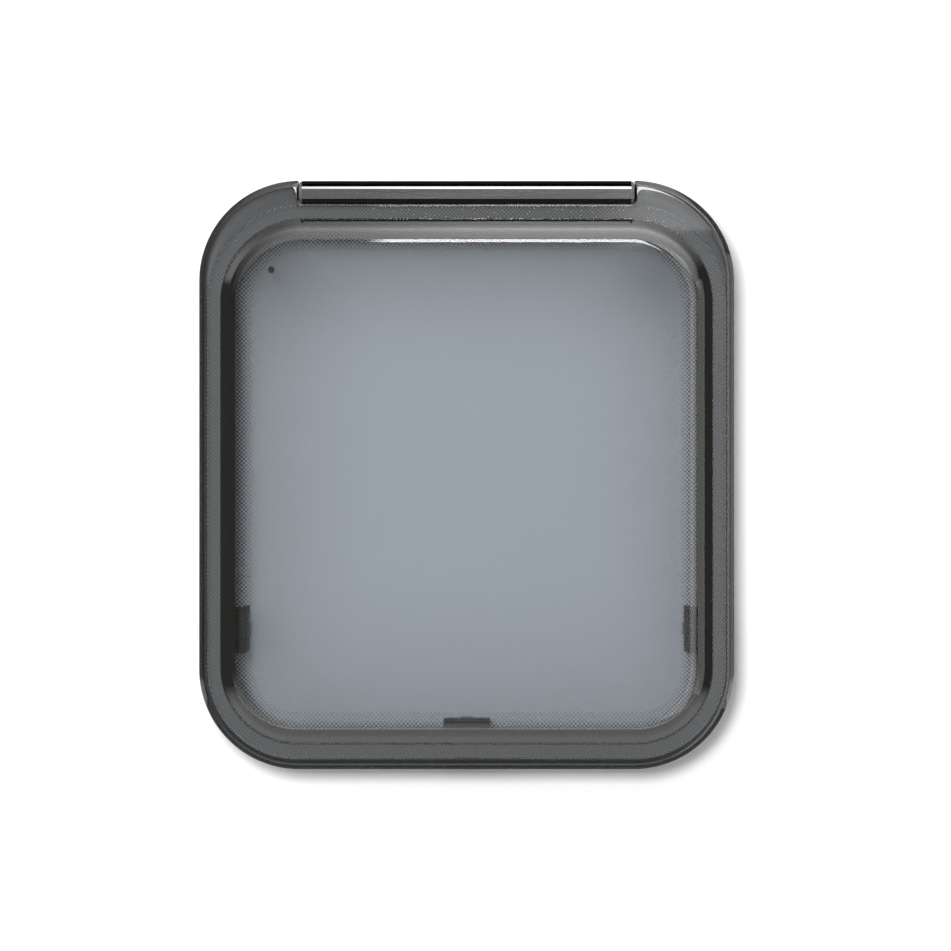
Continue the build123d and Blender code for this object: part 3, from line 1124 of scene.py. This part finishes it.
class WINDOW_OT_hinge(bpy.types.Operator):
    """Finish the hinge's rail, profile, seals and end caps"""

    bl_idname = "window.hinge"
    bl_label = "Hinge"

    def execute(self, context):
        settings = context.scene.window_fittings
        aluminium = satin_aluminium("satin_aluminium", settings.aluminium)
        rubber = extruded_rubber("seal_rubber", settings.seal)
        plastic = grained_plastic("cap_plastic", settings.cap, grain=2600.0, rough=0.5)
        for node in ("hinge_rail", "sash_hinge_profile"):
            carried_over(node, aluminium)
        for node in ("rail_seal", "gap_seal"):
            carried_over(node, rubber)
        for side in ("left", "right"):
            node = "hinge_end_cap_" + side
            placed(softened_copy(node, settings.cap_edge), plastic, "grey_plastic", node)
        # Dark beads behind the notch's sides stand in for the shade in the gap there
        for name, side in (("notch_shade_bead_left", -1), ("notch_shade_bead_right", 1)):
            placed(capped_shell(name, notch_shade_bead_loops(side)), rubber, "black_rubber")
        return {"FINISHED"}


class WINDOW_OT_latches(bpy.types.Operator):
    """Make the three latches: bases, pins, levers and buttons"""

    bl_idname = "window.latches"
    bl_label = "Latches"

    def execute(self, context):
        settings = context.scene.window_fittings
        plastic = grained_plastic("latch_plastic", settings.plastic, grain=2200.0, rough=0.5)
        button = grained_plastic("button_plastic", settings.button, grain=3000.0, rough=0.4)
        steel = pin_steel()
        for side in ("left", "right", "bottom"):
            for part, material, slot in (
                ("latch_base_", plastic, "black_plastic"),
                ("latch_handle_", plastic, "black_plastic"),
                ("latch_button_", button, "grey_plastic"),
            ):
                node = part + side
                placed(softened_copy(node, settings.moulded_edge), material, slot, node)
            carried_over("latch_pin_" + side, steel)
        return {"FINISHED"}


def lamp(name, place, target, size, power):
    """A rectangular area light for matt surfaces, at a place and aimed at a target."""
    data = bpy.data.lights.new(name, "AREA")
    data.shape = "RECTANGLE"
    data.size, data.size_y = size
    data.energy = power
    made = bpy.data.objects.new(name, data)
    made.location = place
    made.rotation_euler = (Vector(target) - Vector(place)).to_track_quat("-Z", "Y").to_euler()
    made.visible_camera = False
    made.visible_glossy = False
    made.visible_transmission = False
    bpy.context.scene.collection.objects.link(made)


def sheet_of(name, corners):
    """A flat rectangle of the stage, by its four corners in turn."""
    mesh = bpy.data.meshes.new(name)
    mesh.from_pydata(corners, [], [(0, 1, 2, 3)])
    made = bpy.data.objects.new(name, mesh)
    bpy.context.scene.collection.objects.link(made)
    return made


def one_sided(name, glow, colour):
    """A matt colour that glows for cameras, mirrors and glass, and isn't there from behind."""
    finish, nodes = finish_nodes(name)
    path = nodes.node("ShaderNodeLightPath")
    seen = (
        nodes.wire(path, "Is Camera Ray")
        .maximum(nodes.wire(path, "Is Glossy Ray"))
        .maximum(nodes.wire(path, "Is Transmission Ray"))
    )
    matt = nodes.node("ShaderNodeBsdfDiffuse", Color=(*colour, 1))
    tone = nodes.blend(seen, BLACK, WHITE)
    light = nodes.node("ShaderNodeEmission", Color=tone, Strength=glow)
    both = nodes.node("ShaderNodeAddShader", in_0=nodes.wire(matt), in_1=nodes.wire(light))
    behind = nodes.wire(nodes.node("ShaderNodeNewGeometry"), "Backfacing")
    nodes.output(nodes.mix(behind, nodes.wire(both), nodes.clear()))
    finish.cycles.emission_sampling = "NONE"
    return finish


def glow_for_mirrors(made, finish, nodes, colour, share, strength):
    """Lets a sheet of the stage glow for reflected rays alone; all others pass through it.

    It glows by strength times share, a wire from 0 to 1.
    """
    reflected = nodes.wire(nodes.node("ShaderNodeLightPath"), "Is Reflection Ray")
    tone = nodes.blend(share * reflected, BLACK, colour)
    light = nodes.node("ShaderNodeEmission", Color=tone, Strength=strength)
    both = nodes.node("ShaderNodeAddShader", in_0=nodes.wire(light), in_1=nodes.clear())
    nodes.output(nodes.wire(both))
    finish.cycles.emission_sampling = "NONE"
    made.data.materials.append(finish)
    made.visible_camera = False
    made.visible_diffuse = False
    made.visible_shadow = False


def card(name, corners, strength, soft, axis="X", colour=WHITE):
    """A card that only mirrors see; its light fades over soft metres at both ends of an axis."""
    made = sheet_of(name, corners)
    finish, nodes = finish_nodes(name)
    split = nodes.node("ShaderNodeSeparateXYZ", Vector=nodes.place())
    along = nodes.wire(split, axis)
    places = [corner["XYZ".index(axis)] for corner in corners]
    first, last = min(places), max(places)
    share = nodes.spread(along, first, first + soft) * nodes.spread(along, last, last - soft)
    glow_for_mirrors(made, finish, nodes, colour, share, strength)


def arch_card(name, radius, rising, across):
    """A curved card over the window that only mirrors see.

    Its points are (x, -radius cos e, radius sin e) for elevations e. Each glows by a level read
    from the table rising at its e in degrees, times one read from the table across at its x.
    """
    e = np.linspace(rising[0][0], rising[0][-1], ARCH_ROWS)
    x = np.linspace(across[0][0], across[0][-1], ARCH_COLUMNS)
    e, x = np.meshgrid(e, x, indexing="ij")
    points = np.stack([x, -radius * np.cos(np.radians(e)), radius * np.sin(np.radians(e))], 2)
    level = np.interp(e, *rising) * np.interp(x, *across)
    peak = float(level.max())
    rows, columns = e.shape
    quads = grid_faces(rows, columns, False).reshape(rows - 1, columns, 4)[:, :-1]
    values = {"share": level.ravel() / peak}
    made = mesh_piece(name, points.reshape(-1, 3), quads.reshape(-1, 4), values=values)
    finish, nodes = finish_nodes(name)
    glow_for_mirrors(made, finish, nodes, WHITE, nodes.attribute("share"), peak)


def upright(left, right, low, high, y):
    """Corners of an upright card that faces the window."""
    return [(left, y, low), (right, y, low), (right, y, high), (left, y, high)]


def level_card(left, right, front, rear, z):
    """Corners of a level card over or under the window."""
    return [(left, front, z), (right, front, z), (right, rear, z), (left, rear, z)]


def side_card(front, rear, front_span, rear_span):
    """Corners of a card on the right, whose front and rear edges each span two heights."""
    x = SIDE_CARD_X
    return [
        (x, front, front_span[0]),
        (x, rear, rear_span[0]),
        (x, rear, rear_span[1]),
        (x, front, front_span[1]),
    ]


# The curved card, and its levels by elevation in degrees and by place along X in metres
ARCH_RADIUS = 1.6
ARCH_ROWS = 50
ARCH_COLUMNS = 141
ARCH_RISING = (
    (12, 20, 36, 46, 57, 66, 77, 87, 95, 110, 130),
    (2.0, 4.6, 5.3, 6.6, 7.5, 8.5, 5.0, 4.1, 2.2, 1.2, 1.0),
)
ARCH_ACROSS = (
    (-3.5, -2.5, -1.5, -0.7, -0.21, -0.085, 0.0, 0.21, 0.7, 1.5, 2.5, 3.5),
    (0.0, 0.06, 0.15, 0.36, 0.58, 0.8, 0.95, 1.05, 0.95, 0.65, 0.35, 0.0),
)


class WINDOW_OT_stage(bpy.types.Operator):
    """Set up the white wall, the floor, the lights and the camera"""

    bl_idname = "window.stage"
    bl_label = "Stage"

    def execute(self, context):
        settings = context.scene.window_stage
        scene = context.scene
        wall_y = cad_high.y + WALL_GAP
        floor_z = cad_low.z - FLOOR_DROP
        wall = sheet_of("white_wall", upright(-4, 4, floor_z, 4, wall_y))
        wall.data.materials.append(one_sided("wall_white", 0.0, (0.95, 0.95, 0.95)))
        wall.visible_diffuse = False
        floor = sheet_of("pale_floor", level_card(-20, 20, -20, 20, floor_z))
        floor.data.materials.append(one_sided("floor_white", 0.86, (0.06, 0.06, 0.06)))
        for made in (wall, floor):
            made.visible_shadow = False
            made.visible_glossy = False

        card("behind_camera", upright(-2, 2, -2, 1.5, -3.6), 0.34, 0.5)
        card("right_behind_camera", upright(0.34, 2, -1.2, 0.3, -3.6), 1.0, 0.25)
        card("strip", upright(-0.2, 0.46, 0.27, 0.8, -3.0), 20.0, 0.05)
        card("corner_glow", upright(0.2, 0.8, 0.19, 0.27, -3.0), 2.5, 0.15)
        arch_card("arch", ARCH_RADIUS, ARCH_RISING, ARCH_ACROSS)
        card("upper_left", level_card(-7, -0.5, -0.6, 0.7, 1.65), 2.0, 2.5)
        card("below", level_card(-2.4, 2.4, -0.9, 0.16, -1.1), 1.9, 1.5)
        card("below_camera", upright(-6, 6, -4.4, -0.9, -3.6), 1.7, 1.5, "Z")
        span = (-1.0, 0.3)
        warm = (1.0, 1.0, 0.92)
        card("right_side", side_card(-1.4, -0.12, span, span), 1.6, 0.128, "Y", warm)
        card("right_front", side_card(-7, -1.4, (-3.0, 2.4), (-1.5, 0.8)), 2.2, 0.56, "Y")
        card("right_rear", side_card(0.15, 1.0, span, span), 0.6, 0.085, "Y")
        card("rear", upright(-2, 2, -0.4, 2.4, 3.0), 0.9, 0.6)
        card("rear_floor", level_card(-5, 5, 1.2, 7, -1.12), 0.8, 2.0)

        middle = (0, FLANGE_Y, (PANE_TOP + PANE_BOTTOM) / 2)
        lamp("near", (-0.29, -2.9, 0.07), middle, (0.5, 0.5), settings.near_power)
        lamp("large", (-0.4, -1.8, 0.5), middle, (4.2, 2.8), settings.large_power)
        lamp("rear", (0.9, 2.4, 1.1), middle, (1.6, 1.6), settings.rear_power)

        world = bpy.data.worlds.new("studio")
        world.use_nodes = True
        scene.world = world
        nodes = Nodes(world.node_tree)
        path = nodes.node("ShaderNodeLightPath")
        seen = nodes.wire(path, "Is Camera Ray").maximum(nodes.wire(path, "Is Transmission Ray"))
        ambient, polished, backdrop = (
            nodes.wire(nodes.node("ShaderNodeBackground", Color=(1, 1, 1, 1), Strength=level))
            for level in (settings.ambient, settings.mirrored, 1.0)
        )
        lit = nodes.mix(nodes.wire(path, "Is Glossy Ray"), ambient, polished)
        nodes.output(nodes.mix(seen, lit, backdrop), "ShaderNodeOutputWorld")

        data = bpy.data.cameras.new("camera")
        data.sensor_width = 36.0
        data.lens = data.sensor_width * settings.distance / settings.view_width
        camera = bpy.data.objects.new("camera", data)
        camera.location = (CAMERA_X, FLANGE_Y - settings.distance, CAMERA_Z)
        camera.rotation_euler = (math.pi / 2, 0, 0)
        scene.collection.objects.link(camera)
        scene.camera = camera
        scene.view_settings.view_transform = "Standard"
        return {"FINISHED"}


class WINDOW_PT_sidebar(bpy.types.Panel):
    """The window's makers and their settings"""

    bl_idname = "WINDOW_PT_sidebar"
    bl_label = "Caravan window"
    bl_space_type = "VIEW_3D"
    bl_region_type = "UI"
    bl_category = "Window"

    def draw(self, context):
        scene = context.scene
        for group in (scene.window_panes, scene.window_fittings, scene.window_stage):
            box = self.layout.box()
            for key in group.__annotations__:
                box.prop(group, key)
        for maker in OPERATORS:
            self.layout.operator(maker.bl_idname)


SETTINGS = {
    "window_panes": WindowPaneSettings,
    "window_fittings": WindowFittingSettings,
    "window_stage": WindowStageSettings,
}
OPERATORS = (
    WINDOW_OT_outer_pane,
    WINDOW_OT_printed_border,
    WINDOW_OT_inner_pane,
    WINDOW_OT_hinge,
    WINDOW_OT_latches,
    WINDOW_OT_stage,
)


def register():
    for made in (*SETTINGS.values(), *OPERATORS, WINDOW_PT_sidebar):
        bpy.utils.register_class(made)
    for name, group in SETTINGS.items():
        setattr(bpy.types.Scene, name, PointerProperty(type=group))


def unregister():
    for name in SETTINGS:
        delattr(bpy.types.Scene, name)
    for made in (WINDOW_PT_sidebar, *OPERATORS, *SETTINGS.values()):
        bpy.utils.unregister_class(made)


def main():
    """Register, and make every piece and the stage."""
    register()
    bpy.ops.window.outer_pane()
    bpy.ops.window.printed_border()
    bpy.ops.window.inner_pane()
    bpy.ops.window.hinge()
    bpy.ops.window.latches()
    bpy.ops.window.stage()


if __name__ == "__main__":
    main()
